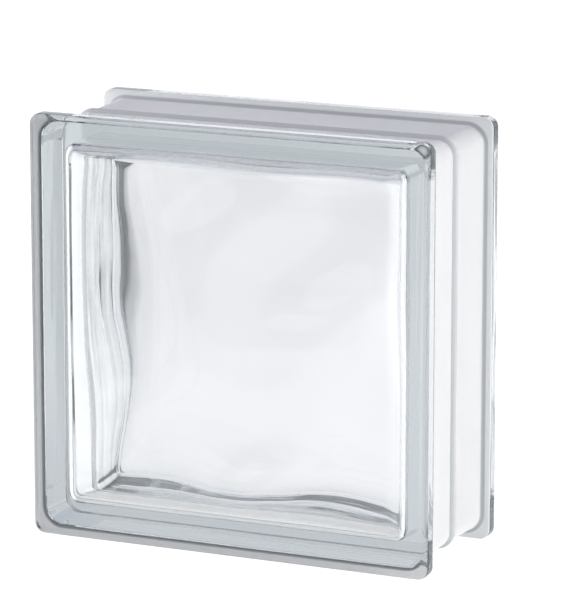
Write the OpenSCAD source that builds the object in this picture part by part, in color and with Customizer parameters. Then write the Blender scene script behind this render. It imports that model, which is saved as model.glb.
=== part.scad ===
// Hollow glass building block, standing on its edge.
// Two pressed half shells are fused at mid depth, so the block is one sealed piece of glass.
// It is drawn lying on its back face, with the front face up, and then stood upright.

/* [Block] */
// Width over the rims
block_w = 190; // [120:1:300]
// Height over the rims
block_h = 190; // [120:1:300]
// Depth from face to face
block_d = 80; // [60:1:120]

/* [Rims] */
// Depth of each rim, from its face to the mortar channel
rim_d = 8; // [6:0.5:12]
// Radius of the four corners of a rim
rim_corner = 5; // [4:0.5:10]
// Rounding of a rim's edge beside the face
rim_face_round = 2.5; // [1:0.25:3.5]
// Rounding of a rim's edge beside the channel
rim_channel_round = 1.5; // [0.5:0.25:2]

/* [Mortar channel] */
// How far the channel floor lies below the rims, beside them
channel_depth = 4; // [3:0.25:7]
// How much deeper the floor grows towards the seam
channel_draft = 1; // [0:0.25:2]
// Radius of the channel floor at the four corners
channel_corner = 8; // [6:0.5:14]
// Fillet between the channel floor and each rim
channel_fillet = 2; // [0.5:0.25:3]

/* [Fused seam] */
// Width of the bead that runs round the seam
bead_w = 5; // [3:0.25:8]
// Height of the bead above the channel floor
bead_h = 1.5; // [0.5:0.1:2]

/* [Glass thickness] */
// Mean thickness of each face plate
plate_t = 8.5; // [6:0.5:14]
// Thickness of the side walls at the seam
wall_t = 8; // [5:0.5:12]
// How much thicker the side walls grow towards the plates
wall_taper = 0.5; // [0:0.25:3]
// Fillet between the plates and the side walls, inside
hollow_fillet = 8; // [3:0.5:14]
// Radius of the hollow at the four corners
hollow_corner = 5; // [3:0.5:12]

/* [Waves] */
// Height of the waves above and below the mean inner face
wave_h = 1.1; // [0:0.1:2.5]
// Length of a wave from crest to crest
wave_l = 72; // [40:1:140]
// Direction in which the front plate's waves run
wave_turn = 155; // [0:1:180]
// Where in a wave the middle of the plate lies, in degrees of one wave
wave_start = 345; // [0:1:360]
// How far each crest swings out of line, in degrees of one wave
swing = 45; // [0:1:90]
// Length of one swing along the crest
swing_l = 95; // [50:1:200]

/* [Hidden] */
$fn = 96;

// Steps of the hollow's surface: round a corner, along a side, across a plate, round a fillet
arc_steps = 5;
side_steps = 18;
plate_steps = 14;
fillet_steps = 4;

rim_half = [block_w / 2, block_h / 2];
channel_half = rim_half - [channel_depth, channel_depth];
channel_w = block_d - 2 * rim_d;
seam_corner = channel_corner - channel_draft;
bead_r = (bead_w * bead_w / 4 + bead_h * bead_h) / (2 * bead_h);

seam_half = channel_half - [channel_draft + wall_t, channel_draft + wall_t];
wall_half = seam_half - [wall_taper, wall_taper];
inner_face = block_d / 2 - plate_t;

// Height of the waves at a point of a plate's inner face
function wave(point, turn) =
    let (along = point.x * cos(turn) + point.y * sin(turn))
    let (across = point.y * cos(turn) - point.x * sin(turn))
    wave_h * sin(wave_start + 360 * along / wave_l + swing * sin(360 * across / swing_l));

// Point on a corner of a round-cornered rectangle; the corners are numbered from the top right
function corner_point(half, radius, corner, angle) =
    let (side_x = corner == 0 || corner == 3 ? 1 : -1)
    let (side_y = corner < 2 ? 1 : -1)
    [side_x * (half.x - radius) + radius * cos(angle), side_y * (half.y - radius) + radius * sin(angle)];

// Outline of a round-cornered rectangle
function ring(half, radius) = [
    for (corner = [0:3])
        let (start = corner * 90, last = corner_point(half, radius, corner, start + 90))
        let (next = corner_point(half, radius, (corner + 1) % 4, start + 90))
        each concat(
            [for (i = [0:arc_steps]) corner_point(half, radius, corner, start + 90 * i / arc_steps)],
            [for (i = [1:side_steps - 1]) last + (next - last) * i / side_steps]
        )
];

// One ring of the hollow's fillet; at 0 degrees it lies on the plate and at 90 degrees on the side wall
function fillet_outline(angle) =
    let (reach = hollow_fillet * (sin(angle) - 1))
    ring(wall_half + [reach, reach], hollow_corner);

// Rings of one half of the hollow, from the middle of its plate to the side wall; the front has side 1
function half_rings(side, turn) = concat(
    [for (i = [1:plate_steps]) [for (edge = fillet_outline(0))
        let (point = edge * i / plate_steps)
        [point.x, point.y, side * inner_face + wave(point, turn)]]],
    [for (i = [1:fillet_steps]) let (angle = 90 * i / fillet_steps) [for (point = fillet_outline(angle))
        let (depth = inner_face - hollow_fillet * (1 - cos(angle)))
        [point.x, point.y, side * depth + cos(angle) * wave(point, turn)]]]
);

function reversed(list) = [for (i = [len(list) - 1:-1:0]) list[i]];

// Sweeps a depth profile round a rectangle; the profile starts at the rectangle's edge
module swept_frame(half) {
    for (turn = [0:90:270]) {
        across = turn % 180 == 0 ? half : [half.y, half.x];
        rotate(turn) translate([across.x, across.y, 0])
            rotate_extrude(angle = 90) children();
        rotate(turn) translate([0, across.y, 0]) rotate([90, 0, 90])
            linear_extrude(2 * across.x, center = true) children();
    }
}

// Half section of a rim, with its face at the top
module rim_profile() {
    square([rim_corner - rim_channel_round, rim_d / 2]);
    translate([0, rim_d / 2]) square([rim_corner - rim_face_round, rim_d / 2]);
    translate([0, rim_channel_round])
        square([rim_corner, rim_d - rim_channel_round - rim_face_round]);
    translate([rim_corner - rim_channel_round, rim_channel_round]) circle(rim_channel_round);
    translate([rim_corner - rim_face_round, rim_d - rim_face_round]) circle(rim_face_round);
}

// Rim with its face plate, before the hollow is taken out
module rim() {
    axis_half = rim_half - [rim_corner, rim_corner];
    translate([0, 0, rim_d / 2])
        cube([2 * axis_half.x, 2 * axis_half.y, rim_d], center = true);
    swept_frame(axis_half) rim_profile();
}

// Half section of the channel: its floor, a fillet at each rim and the bead of the seam
module channel_profile() {
    fillet_y = channel_w / 2 - channel_fillet;
    polygon([
        [0, -channel_w / 2], [channel_corner, -channel_w / 2], [channel_corner, -fillet_y],
        [seam_corner, 0],
        [channel_corner, fillet_y], [channel_corner, channel_w / 2], [0, channel_w / 2]
    ]);
    for (end = [0, 1])
        mirror([0, end]) translate([channel_corner, fillet_y]) difference() {
            square(channel_fillet);
            translate([channel_fillet, 0]) circle(channel_fillet);
        }
    intersection() {
        translate([seam_corner + bead_h - bead_r, 0]) circle(bead_r);
        translate([0, -bead_w / 2]) square([channel_corner + bead_h, bead_w]);
    }
}

// Body between the two rims
module channel_body() {
    axis_half = channel_half - [channel_corner, channel_corner];
    cube([2 * axis_half.x, 2 * axis_half.y, channel_w], center = true);
    swept_frame(axis_half) channel_profile();
}

// The sealed hollow: a wavy face at each plate, joined by the tapered side walls
module hollow() {
    front = half_rings(1, wave_turn);
    back = half_rings(-1, wave_turn + 90);
    rings = concat(front, [ring(seam_half, hollow_corner)], reversed(back));
    seam_ring = len(front);
    count = len(rings[0]);
    points = concat(
        [[0, 0, inner_face + wave([0, 0], wave_turn)]],
        [for (i = [0:len(rings) - 1]) each [for (point = rings[i])
            i == seam_ring ? [point.x, point.y, 0] : point]],
        [[0, 0, wave([0, 0], wave_turn + 90) - inner_face]]
    );
    last = len(points) - 1;
    faces = [
        for (j = [0:count - 1]) let (k = (j + 1) % count) each concat(
            [[0, 1 + k, 1 + j]],
            [for (i = [0:len(rings) - 2])
                let (near = 1 + i * count, far = near + count)
                each [[near + j, near + k, far + k], [near + j, far + k, far + j]]],
            [[last - count + j, last - count + k, last]]
        )
    ];
    polyhedron(points, faces);
}

module glass_block() {
    color([0.82, 0.9, 0.88, 0.55])
        translate([0, 0, block_h / 2]) rotate([90, 0, 0]) difference() {
            union() {
                channel_body();
                for (side = [0, 1])
                    mirror([0, 0, side]) translate([0, 0, channel_w / 2]) rim();
            }
            hollow();
        }
}

glass_block();
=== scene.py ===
import bpy
import bmesh
from collections import namedtuple
from math import cos, pi, radians, sin, sqrt
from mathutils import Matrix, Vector


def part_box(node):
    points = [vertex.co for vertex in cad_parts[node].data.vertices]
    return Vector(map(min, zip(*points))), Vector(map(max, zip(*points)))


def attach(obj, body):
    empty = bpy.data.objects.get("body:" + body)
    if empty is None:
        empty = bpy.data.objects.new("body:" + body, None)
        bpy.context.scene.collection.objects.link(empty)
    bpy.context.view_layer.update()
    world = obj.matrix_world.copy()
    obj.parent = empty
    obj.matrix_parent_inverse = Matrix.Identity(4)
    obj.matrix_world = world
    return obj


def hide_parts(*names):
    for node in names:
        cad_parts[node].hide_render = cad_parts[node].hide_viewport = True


mmPerMetre = 1000
mlPerCubicMetre = 1e6

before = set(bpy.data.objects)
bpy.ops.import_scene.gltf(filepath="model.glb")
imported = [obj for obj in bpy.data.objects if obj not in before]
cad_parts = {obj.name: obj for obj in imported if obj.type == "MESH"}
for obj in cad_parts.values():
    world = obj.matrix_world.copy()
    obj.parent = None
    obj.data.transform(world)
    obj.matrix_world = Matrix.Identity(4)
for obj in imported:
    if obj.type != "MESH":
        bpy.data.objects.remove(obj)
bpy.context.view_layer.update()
blockLow, blockHigh = (Vector(corner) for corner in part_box("glass_block"))
blockSize = blockHigh - blockLow
blockMiddle = (blockLow + blockHigh) / 2
print("frame loaded, block", [round(side * mmPerMetre, 1) for side in blockSize], "mm")

# sizes of the pressed glass, in metres
glassShape = {
    "rimDepth": 0.008,
    "rimCorner": 0.005,
    "faceRound": 0.0025,
    "channelRound": 0.0015,
    "channelDepth": 0.004,
    "channelDraft": 0.001,
    "channelCorner": 0.008,
    "channelFillet": 0.002,
    "beadWidth": 0.005,
    "beadHeight": 0.0015,
    "plateThick": 0.0085,
    "wallThick": 0.008,
    "wallTaper": 0.0005,
    "hollowFillet": 0.008,
    "hollowCorner": 0.005,
}

# waves pressed into the inner face of each plate
waveShape = {
    "height": 0.0011,
    "length": 0.072,
    "frontTurn": radians(155),
    "backTurn": radians(245),
    "start": radians(-15),
    "swing": radians(45),
    "swingLength": 0.095,
}

# how finely the mesh follows the shape
meshSteps = {
    "corner": 12,
    "cornerCut": 0.05,  # taken off the corners of the square, 2 wide, that the skin starts as
    "cornerProfile": 0.5,  # a round corner
    "round": 8,
    "bead": 16,
    "hollowGrid": 120,
    "wall": 6,
    "hold": 0.0003,  # flat margin beside each rounding
    "floorHold": 0.001,  # flat margin of the channel floor beside its fillet
    "weld": 0.00002,
}

# soda-lime glass; the absorption tints its thick edges
glassFinish = {
    "tint": (0.98, 0.985, 0.985, 1),
    "ior": 1.52,
    "absorbColor": (0.43, 0.5, 0.515, 1),
    "absorbDensity": 12.5,
    "noiseDetail": 1,
    "rippleScale": 45.0,
    "drawScale": 18.0,
    "drawStretch": (1, 8, 1),
    "drawShare": 2.0,
    "reliefHeight": 0.0001,
    "polishScale": 30.0,
    "polishBest": 0.0,
    "polishWorst": 0.05,
}

# thin white coat in the mortar channel, with painted shade that makes it greyer at the seam and
# on the flanks and feet of the rims
coatFinish = {
    "floorColor": (0.95, 0.955, 0.96, 1),
    "paintedShadeColor": (0.36, 0.38, 0.385, 1),
    "seamPaintedShade": 0.85,
    "seamInsidePaintedShade": 0.45,  # painted shade of the same place, on the glass side of the coat
    # painted shade on the rims' flanks, and deeper painted shade in the fillets at their feet
    "flankPaintedShade": 0.6,
    "footPaintedShade": 0.7,
    "scatter": 0.0015,
    "scatterShares": (1, 1, 1),  # of red, green and blue
    "specular": 0.2,
    "startTurn": radians(30),  # where on a rim's rounding the coat starts, inside the block's box
    "gap": 0.00005,
    "thick": 0.0001,
    "mottleScale": 260.0,
    "mottleDetail": 4,
    "mottleDepth": 0.06,
    "smooth": 0.6,
    "matte": 0.8,
    "grainHeight": 0.00004,
}

cameraSet = {
    "azimuth": radians(24.5),
    "elevation": radians(12.45),
    "distance": 1.844,
    "lens": 251.0,
    "sensor": 36.0,
    "clipEnd": 50.0,
    "lookRight": 0.0089,
    "lookUp": 0.0117,
}

studioDark = (0.06, 0.06, 0.06, 1)
studio = {
    "floorSize": 6.0,
    "floorColor": (0.86, 0.86, 0.87, 1),
    "floorRough": 0.9,
    "floorShine": 0.85,
    "floorLight": (1.2, 1.2, 1.2, 1),
    # the lit strip of the floor, across its run, as seen in the glass
    "stripTurn": radians(24.5),
    "stripReach": 0.5,
    "stripStops": [
        (0.08, studioDark),
        (0.15, (0.6, 0.6, 0.62, 1)),
        (0.24, (1.0, 0.99, 1.02, 1)),
        (0.5, (1.09, 1.08, 1.11, 1)),
        (0.74, (1.3, 1.29, 1.31, 1)),
    ],
    "stripFar": (1.3, 1.3, 1.32, 1),
    "horizonColor": (0.97, 0.97, 1.0, 1),
    "zenithColor": (0.8, 0.8, 0.9, 1),
    "boxWide": 0.7,
    "boxTall": 0.26,
    "boxAway": 1.1,
    "boxHeight": 0.16,
    "leftTurn": radians(15),
    "leftPower": 10.5,
    "rightTurn": radians(-24.5),
    "rightPower": 10.0,
    "bounces": 40,
}

# one ring of the outer skin; its depth is measured from the nearer face, and its shade is the
# painted shade the coat carries there
Station = namedtuple("Station", "inset radius depth coated shade")


def addNoise(nodes, links, place, scale, detail):
    noise = nodes.new("ShaderNodeTexNoise")
    noise.inputs["Scale"].default_value = scale
    noise.inputs["Detail"].default_value = detail
    links.new(place, noise.inputs["Vector"])
    return noise.outputs["Fac"]


def addRange(nodes, links, source, low, high):
    spread = nodes.new("ShaderNodeMapRange")
    spread.inputs["To Min"].default_value = low
    spread.inputs["To Max"].default_value = high
    links.new(source, spread.inputs["Value"])
    return spread.outputs["Result"]


def addShare(nodes, links, source, share, base):
    # base plus a share of the source
    total = nodes.new("ShaderNodeMath")
    total.operation = "MULTIPLY_ADD"
    total.inputs[1].default_value = share
    links.new(source, total.inputs[0])
    links.new(base, total.inputs[2])
    return total.outputs[0]


def addBump(nodes, links, source, height, shader):
    bump = nodes.new("ShaderNodeBump")
    bump.inputs["Strength"].default_value = 1.0
    bump.inputs["Distance"].default_value = height
    links.new(source, bump.inputs["Height"])
    links.new(bump.outputs["Normal"], shader.inputs["Normal"])


def newMaterial(name):
    material = bpy.data.materials.new(name)
    material.use_nodes = True
    return material, material.node_tree.nodes, material.node_tree.links


def makeClearGlass():
    material, nodes, links = newMaterial("clear_pressed_glass")
    glass = nodes["Principled BSDF"]
    glass.inputs["Base Color"].default_value = glassFinish["tint"]
    glass.inputs["IOR"].default_value = glassFinish["ior"]
    glass.inputs["Transmission Weight"].default_value = 1.0

    place = nodes.new("ShaderNodeTexCoord").outputs["Object"]
    detail = glassFinish["noiseDetail"]
    ripple = addNoise(nodes, links, place, glassFinish["rippleScale"], detail)
    # draw marks, squeezed along the depth, so they run lengthwise along the walls and the channel
    stretch = nodes.new("ShaderNodeMapping")
    stretch.inputs["Scale"].default_value = glassFinish["drawStretch"]
    links.new(place, stretch.inputs["Vector"])
    draw = addNoise(nodes, links, stretch.outputs["Vector"], glassFinish["drawScale"], detail)
    relief = addShare(nodes, links, draw, glassFinish["drawShare"], ripple)
    addBump(nodes, links, relief, glassFinish["reliefHeight"], glass)
    polish = addNoise(nodes, links, place, glassFinish["polishScale"], detail)
    rough = addRange(nodes, links, polish, glassFinish["polishBest"], glassFinish["polishWorst"])
    links.new(rough, glass.inputs["Roughness"])

    absorb = nodes.new("ShaderNodeVolumeAbsorption")
    absorb.inputs["Color"].default_value = glassFinish["absorbColor"]
    absorb.inputs["Density"].default_value = glassFinish["absorbDensity"]
    links.new(absorb.outputs["Volume"], nodes["Material Output"].inputs["Volume"])
    return material


def makeEdgeCoat():
    material, nodes, links = newMaterial("white_edge_coat")
    coat = nodes["Principled BSDF"]
    coat.inputs["Specular IOR Level"].default_value = coatFinish["specular"]
    coat.inputs["Subsurface Radius"].default_value = coatFinish["scatterShares"]
    coat.inputs["Subsurface Scale"].default_value = coatFinish["scatter"]

    # the shade attribute is painted shade, which the ramp turns grey, with a small random mottle
    # added
    attribute = nodes.new("ShaderNodeAttribute")
    attribute.attribute_name = "shade"
    shade = attribute.outputs["Fac"]
    place = nodes.new("ShaderNodeTexCoord").outputs["Object"]
    mottle = addNoise(nodes, links, place, coatFinish["mottleScale"], coatFinish["mottleDetail"])
    ramp = nodes.new("ShaderNodeValToRGB")
    ramp.color_ramp.elements[0].color = coatFinish["floorColor"]
    ramp.color_ramp.elements[1].color = coatFinish["paintedShadeColor"]
    paintedShadeAndMottle = addShare(nodes, links, mottle, coatFinish["mottleDepth"], shade)
    links.new(paintedShadeAndMottle, ramp.inputs["Fac"])
    links.new(ramp.outputs["Color"], coat.inputs["Base Color"])
    # the coat lets light through on the channel floor and is dense where it carries painted shade
    links.new(addRange(nodes, links, shade, 1, 0), coat.inputs["Subsurface Weight"])
    rough = addRange(nodes, links, mottle, coatFinish["smooth"], coatFinish["matte"])
    links.new(rough, coat.inputs["Roughness"])
    addBump(nodes, links, mottle, coatFinish["grainHeight"], coat)
    return material


def waveHeight(x, z, turn):
    along = x * cos(turn) + z * sin(turn)
    across = z * cos(turn) - x * sin(turn)
    swing = waveShape["swing"] * sin(2 * pi * across / waveShape["swingLength"])
    phase = 2 * pi * along / waveShape["length"] + swing + waveShape["start"]
    return waveShape["height"] * sin(phase)


def onOutline(square, halfX, halfZ, radius):
    # takes a point on the edge of a square, from -1 to 1, to a round-cornered rectangle
    point = Vector((square[0] * halfX, square[1] * halfZ))
    core = Vector((max(radius - halfX, min(halfX - radius, point.x)),
                   max(radius - halfZ, min(halfZ - radius, point.y))))
    return core + (point - core).normalized() * radius


def quarterTurns(steps):
    return [pi / 2 * i / steps for i in range(steps + 1)]


def drawOut(bm, loop, edges):
    # extrudes a loop; its new vertices come back in the order of the old ones
    drawn = bmesh.ops.extrude_edge_only(bm, edges=edges)["geom"]
    newVerts = {item for item in drawn if isinstance(item, bmesh.types.BMVert)}
    newLoop = []
    for vert in loop:
        ends = (edge.other_vert(vert) for edge in vert.link_edges)
        newLoop.append(next(end for end in ends if end in newVerts))
    newEdges = [item for item in drawn if isinstance(item, bmesh.types.BMEdge)
                and item.verts[0] in newVerts and item.verts[1] in newVerts]
    newFaces = [item for item in drawn if isinstance(item, bmesh.types.BMFace)]
    return newLoop, newEdges, newFaces


def rimProfile():
    # from the edge of the face, over the rim, to the channel floor
    s = glassShape
    hold = meshSteps["hold"]
    turns = quarterTurns(meshSteps["round"])
    faceRound, channelRound, fillet = s["faceRound"], s["channelRound"], s["channelFillet"]
    flankPaintedShade = coatFinish["flankPaintedShade"]
    profile = []

    def addRim(inset, depth, coated=False, shade=0):
        profile.append(Station(inset, s["rimCorner"] - inset, depth, coated, shade))

    addRim(faceRound + hold, 0)
    for a in turns:
        addRim(faceRound * (1 - sin(a)), faceRound * (1 - cos(a)))
    landEnd = s["rimDepth"] - channelRound
    addRim(0, faceRound + hold)
    addRim(0, landEnd - hold)
    # the coat over the rim's channel-side rounding carries the flank's painted shade
    for a in turns:
        coated = a > coatFinish["startTurn"]
        addRim(channelRound * (1 - cos(a)), landEnd + channelRound * sin(a), coated, flankPaintedShade)
    for a in turns:
        # painted shade: the foot of the rim is darkest in the middle of its fillet, where the
        # crease is shaded
        foot = flankPaintedShade * cos(a) + coatFinish["footPaintedShade"] * sin(2 * a)
        rise = fillet * (1 - sin(a))
        profile.append(Station(s["channelDepth"] - rise, s["channelCorner"] + rise,
                               s["rimDepth"] + fillet * (1 - cos(a)), True, foot))
    return profile


def floorProfile():
    # along the channel floor to the top of the seam's bead
    s = glassShape
    seam = blockSize.y / 2
    floorLength = seam - s["rimDepth"] - s["channelFillet"]
    seamInset = s["channelDepth"] + s["channelDraft"]
    beadHalf = s["beadWidth"] / 2
    beadRadius = (beadHalf ** 2 + s["beadHeight"] ** 2) / (2 * s["beadHeight"])
    profile = []

    def addFloor(away, onBead):
        inset = s["channelDepth"] + s["channelDraft"] * (1 - away / floorLength)
        shade = 0
        if onBead:
            rise = sqrt(beadRadius ** 2 - away ** 2) - (beadRadius - s["beadHeight"])
            inset = min(inset, seamInset - rise)
            # painted shade along the seam's bead
            shade = coatFinish["seamPaintedShade"]
        radius = s["channelCorner"] + s["channelDepth"] - inset
        profile.append(Station(inset, radius, seam - away, True, shade))

    addFloor(floorLength - meshSteps["floorHold"], False)
    addFloor(beadHalf + meshSteps["hold"], False)
    for i in range(meshSteps["bead"] + 1):
        addFloor(beadHalf * (1 - i / meshSteps["bead"]), True)
    return profile


def outerSkin(bm):
    # a square with round corners, drawn out from the front face to the back face
    profile = rimProfile() + floorProfile()
    rings = [(station, blockLow.y + station.depth) for station in profile]
    rings += [(station, blockHigh.y - station.depth) for station in reversed(profile[:-1])]
    # vertex layer holding the coat's painted shade
    shadeLayer = bm.verts.layers.float.new("shade")
    cut = meshSteps["cornerCut"]
    bmesh.ops.create_grid(bm, x_segments=1, y_segments=1, size=1)
    bmesh.ops.bevel(bm, geom=bm.verts[:], offset=cut, affect="VERTICES",
                    segments=meshSteps["corner"], profile=meshSteps["cornerProfile"], material=-1)
    face = bm.faces[:][0]
    loop = list(face.verts)
    edges = list(face.edges)
    cornerTurns = []
    for vert in loop:
        side = Vector((1 if vert.co.x > 0 else -1, 1 if vert.co.y > 0 else -1))
        cornerTurns.append((side, (vert.co.xy - side * (1 - cut)).normalized()))

    def fitLoop(station, y):
        halfX = blockSize.x / 2 - station.inset - station.radius
        halfZ = blockSize.z / 2 - station.inset - station.radius
        for vert, (side, turn) in zip(loop, cornerTurns):
            vert.co = (blockMiddle.x + side.x * halfX + turn.x * station.radius, y,
                       blockMiddle.z + side.y * halfZ + turn.y * station.radius)
            vert[shadeLayer] = station.shade

    coatFaces = []
    fitLoop(*rings[0])
    for (before, _), (station, y) in zip(rings, rings[1:]):
        loop, edges, faces = drawOut(bm, loop, edges)
        fitLoop(station, y)
        if before.coated and station.coated:
            coatFaces += faces
    bmesh.ops.edgeloop_fill(bm, edges=edges)
    bmesh.ops.recalc_face_normals(bm, faces=bm.faces[:])
    return coatFaces


def hollowHalf(bm, side, turn):
    # side is -1 at the front plate and 1 at the back plate
    s = glassShape
    wallIn = s["channelDepth"] + s["channelDraft"] + s["wallThick"] + s["wallTaper"]
    wallX = blockSize.x / 2 - wallIn
    wallZ = blockSize.z / 2 - wallIn
    innerFace = blockSize.y / 2 - s["plateThick"]
    fillet = s["hollowFillet"]
    corner = s["hollowCorner"]

    def atDepth(point, depth, waved):
        y = blockMiddle.y + side * depth - waved * waveHeight(point.x, point.y, turn)
        return Vector((blockMiddle.x + point.x, y, blockMiddle.z + point.y))

    grid = bmesh.ops.create_grid(bm, x_segments=meshSteps["hollowGrid"],
                                 y_segments=meshSteps["hollowGrid"], size=1)["verts"]
    loop = [vert for vert in grid if vert.is_boundary]
    onLoop = set(loop)
    edges = [edge for edge in bm.edges if edge.is_boundary and edge.verts[0] in onLoop]
    squares = [vert.co.xy for vert in loop]
    for vert in grid:
        reach = max(abs(vert.co.x), abs(vert.co.y))
        point = Vector((0, 0))
        if reach > 0:
            point = onOutline(vert.co.xy / reach, wallX - fillet, wallZ - fillet, corner) * reach
        vert.co = atDepth(point, innerFace, 1)

    # fillet from the plate to the side wall, then the tapered wall to the seam
    rings = []
    for a in quarterTurns(meshSteps["round"])[1:]:
        rings.append((fillet * (1 - sin(a)), innerFace - fillet * (1 - cos(a)), cos(a)))
    for i in range(1, meshSteps["wall"] + 1):
        share = i / meshSteps["wall"]
        rings.append((-s["wallTaper"] * share, (innerFace - fillet) * (1 - share), 0))
    for inset, depth, waved in rings:
        loop, edges, _ = drawOut(bm, loop, edges)
        for vert, square in zip(loop, squares):
            point = onOutline(square, wallX - inset, wallZ - inset, corner)
            vert.co = atDepth(point, depth, waved)


def finishPiece(name, bm, material):
    for face in bm.faces:
        face.smooth = True
    openEdges = sum(not edge.is_manifold for edge in bm.edges)
    volume = round(bm.calc_volume(signed=True) * mlPerCubicMetre, 1)
    print(name, len(bm.faces), "faces,", openEdges, "open edges,", volume, "ml")
    mesh = bpy.data.meshes.new(name)
    bm.to_mesh(mesh)
    bm.free()
    mesh.materials.append(material)
    piece = bpy.data.objects.new(name, mesh)
    bpy.context.scene.collection.objects.link(piece)
    return piece


def makeGlassBlock():
    hollow = bmesh.new()
    hollowHalf(hollow, -1, waveShape["frontTurn"])
    hollowHalf(hollow, 1, waveShape["backTurn"])
    bmesh.ops.remove_doubles(hollow, verts=hollow.verts[:], dist=meshSteps["weld"])
    bmesh.ops.recalc_face_normals(hollow, faces=hollow.faces[:])
    bmesh.ops.reverse_faces(hollow, faces=hollow.faces[:])
    pressed = bpy.data.meshes.new("pressed_hollow")
    hollow.to_mesh(pressed)
    hollow.free()
    body = bmesh.new()
    outerSkin(body)
    body.from_mesh(pressed)
    bpy.data.meshes.remove(pressed)
    return finishPiece("pressed_glass_block", body, makeClearGlass())


def makeCoatFilm():
    # a thin closed film that lies just off the glass of the mortar channel
    bm = bmesh.new()
    coated = set(outerSkin(bm))
    bare = [face for face in bm.faces if face not in coated]
    bmesh.ops.delete(bm, geom=bare, context="FACES")
    bm.normal_update()
    outward = {vert: vert.normal.copy() for vert in bm.verts}
    for vert, normal in outward.items():
        vert.co += normal * coatFinish["gap"]
    inner = bm.faces[:]
    twin = bmesh.ops.duplicate(bm, geom=bm.faces[:] + bm.edges[:] + bm.verts[:])["vert_map"]
    shadeLayer = bm.verts.layers.float["shade"]
    seamReach = (glassShape["beadWidth"] + meshSteps["hold"]) / 2
    for vert, normal in outward.items():
        twin[vert].co += normal * coatFinish["thick"]
        # the seam's painted shade lies on the outside of the coat, and its glass side gets a
        # lighter painted shade
        if abs(vert.co.y - blockMiddle.y) < seamReach:
            vert[shadeLayer] = coatFinish["seamInsidePaintedShade"]
    bmesh.ops.reverse_faces(bm, faces=inner)
    ends = [edge for edge in bm.edges if edge.is_boundary and edge.verts[0] in outward]
    for edge in ends:
        a, b = edge.verts
        bm.faces.new((a, b, twin[b], twin[a]))
    bmesh.ops.recalc_face_normals(bm, faces=bm.faces[:])
    return finishPiece("edge_coat", bm, makeEdgeCoat())


def makeFloorMaterial():
    material, nodes, links = newMaterial("studio_floor")
    paint = nodes["Principled BSDF"]
    paint.inputs["Base Color"].default_value = studio["floorColor"]
    paint.inputs["Roughness"].default_value = studio["floorRough"]

    # in the glass the floor shows as a lit strip that ends in the dark on its left
    turn = studio["stripTurn"]
    coords = nodes.new("ShaderNodeTexCoord")
    across = nodes.new("ShaderNodeVectorMath")
    across.operation = "DOT_PRODUCT"
    across.inputs[1].default_value = (cos(turn), sin(turn), 0)
    links.new(coords.outputs["Object"], across.inputs[0])
    place = nodes.new("ShaderNodeMapRange")
    place.inputs["From Min"].default_value = -studio["stripReach"]
    place.inputs["From Max"].default_value = studio["stripReach"]
    links.new(across.outputs["Value"], place.inputs["Value"])
    strip = nodes.new("ShaderNodeValToRGB")
    strip.color_ramp.interpolation = "EASE"
    stops = strip.color_ramp.elements
    stops[0].color = studioDark
    stops[1].color = studio["stripFar"]
    for position, color in studio["stripStops"]:
        stops.new(position).color = color
    links.new(place.outputs["Result"], strip.inputs["Fac"])

    path = nodes.new("ShaderNodeLightPath")
    inGlass = nodes.new("ShaderNodeMath")
    inGlass.operation = "MAXIMUM"
    links.new(path.outputs["Is Glossy Ray"], inGlass.inputs[0])
    links.new(path.outputs["Is Transmission Ray"], inGlass.inputs[1])
    light = nodes.new("ShaderNodeMix")
    light.data_type = "RGBA"
    light.inputs["A"].default_value = studio["floorLight"]
    links.new(inGlass.outputs[0], light.inputs["Factor"])
    links.new(strip.outputs["Color"], light.inputs["B"])
    shine = nodes.new("ShaderNodeEmission")
    links.new(light.outputs["Result"], shine.inputs["Color"])
    mix = nodes.new("ShaderNodeMixShader")
    mix.inputs["Fac"].default_value = studio["floorShine"]
    links.new(paint.outputs["BSDF"], mix.inputs[1])
    links.new(shine.outputs["Emission"], mix.inputs[2])
    links.new(mix.outputs["Shader"], nodes["Material Output"].inputs["Surface"])
    return material


def makeFloor():
    bm = bmesh.new()
    bmesh.ops.create_grid(bm, x_segments=1, y_segments=1, size=studio["floorSize"])
    mesh = bpy.data.meshes.new("studio_floor")
    bm.to_mesh(mesh)
    bm.free()
    mesh.materials.append(makeFloorMaterial())
    floor = bpy.data.objects.new("studio_floor", mesh)
    bpy.context.scene.collection.objects.link(floor)


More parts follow.
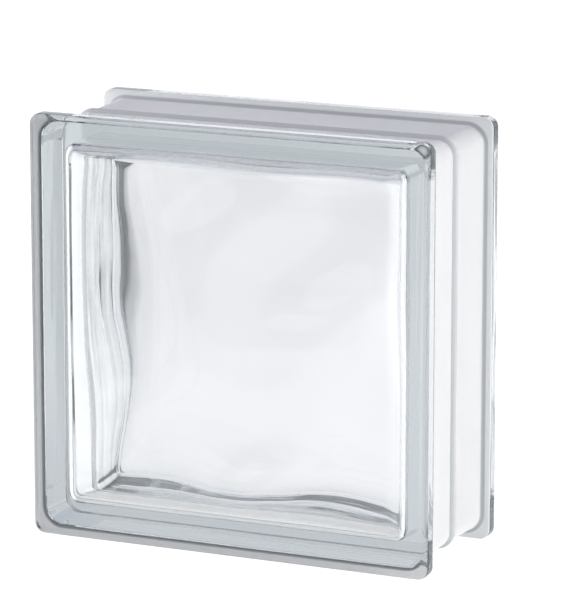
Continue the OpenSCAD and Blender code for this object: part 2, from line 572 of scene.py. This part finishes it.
def makeWorld():
    world = bpy.data.worlds.new("studio")
    bpy.context.scene.world = world
    world.use_nodes = True
    nodes = world.node_tree.nodes
    links = world.node_tree.links
    coords = nodes.new("ShaderNodeTexCoord")
    split = nodes.new("ShaderNodeSeparateXYZ")
    ramp = nodes.new("ShaderNodeValToRGB")
    ramp.color_ramp.interpolation = "EASE"
    ramp.color_ramp.elements[0].color = studio["horizonColor"]
    ramp.color_ramp.elements[1].color = studio["zenithColor"]
    links.new(coords.outputs["Generated"], split.inputs[0])
    links.new(split.outputs["Z"], ramp.inputs["Fac"])
    links.new(ramp.outputs["Color"], nodes["Background"].inputs["Color"])


def makeSoftbox(name, side, turn, power):
    # side is -1 on the left and 1 on the right, and turn leads from there towards the front
    data = bpy.data.lights.new(name, "AREA")
    data.shape = "RECTANGLE"
    data.size = studio["boxWide"]
    data.size_y = studio["boxTall"]
    data.energy = power
    lamp = bpy.data.objects.new(name, data)
    away = Vector((side * cos(turn), -sin(turn), 0)) * studio["boxAway"]
    lamp.location = away + Vector((0, 0, studio["boxHeight"]))
    lamp.rotation_euler = (lamp.location - blockMiddle).to_track_quat("Z", "Y").to_euler()
    lamp.visible_glossy = False
    lamp.visible_transmission = False
    bpy.context.scene.collection.objects.link(lamp)


def makeCamera():
    az, el = cameraSet["azimuth"], cameraSet["elevation"]
    back = Vector((sin(az) * cos(el), -cos(az) * cos(el), sin(el)))
    right = Vector((cos(az), sin(az), 0))
    up = back.cross(right)
    target = blockMiddle + right * cameraSet["lookRight"] + up * cameraSet["lookUp"]
    data = bpy.data.cameras.new("camera")
    data.sensor_width = cameraSet["sensor"]
    data.lens = cameraSet["lens"]
    data.clip_end = cameraSet["clipEnd"]
    camera = bpy.data.objects.new("camera", data)
    camera.location = target + back * cameraSet["distance"]
    camera.rotation_euler = back.to_track_quat("Z", "Y").to_euler()
    bpy.context.scene.collection.objects.link(camera)
    bpy.context.scene.camera = camera


glassBlock = makeGlassBlock()
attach(glassBlock, "root")
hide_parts("glass_block")
coatFilm = makeCoatFilm()
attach(coatFilm, "root")
print("glass block dressed")

makeFloor()
makeWorld()
makeSoftbox("softbox_left", -1, studio["leftTurn"], studio["leftPower"])
makeSoftbox("softbox_right", 1, studio["rightTurn"], studio["rightPower"])
makeCamera()
bpy.context.scene.view_settings.view_transform = "Standard"
for kind in ("max_bounces", "transmission_bounces", "glossy_bounces", "diffuse_bounces"):
    setattr(bpy.context.scene.cycles, kind, studio["bounces"])
print("studio set")
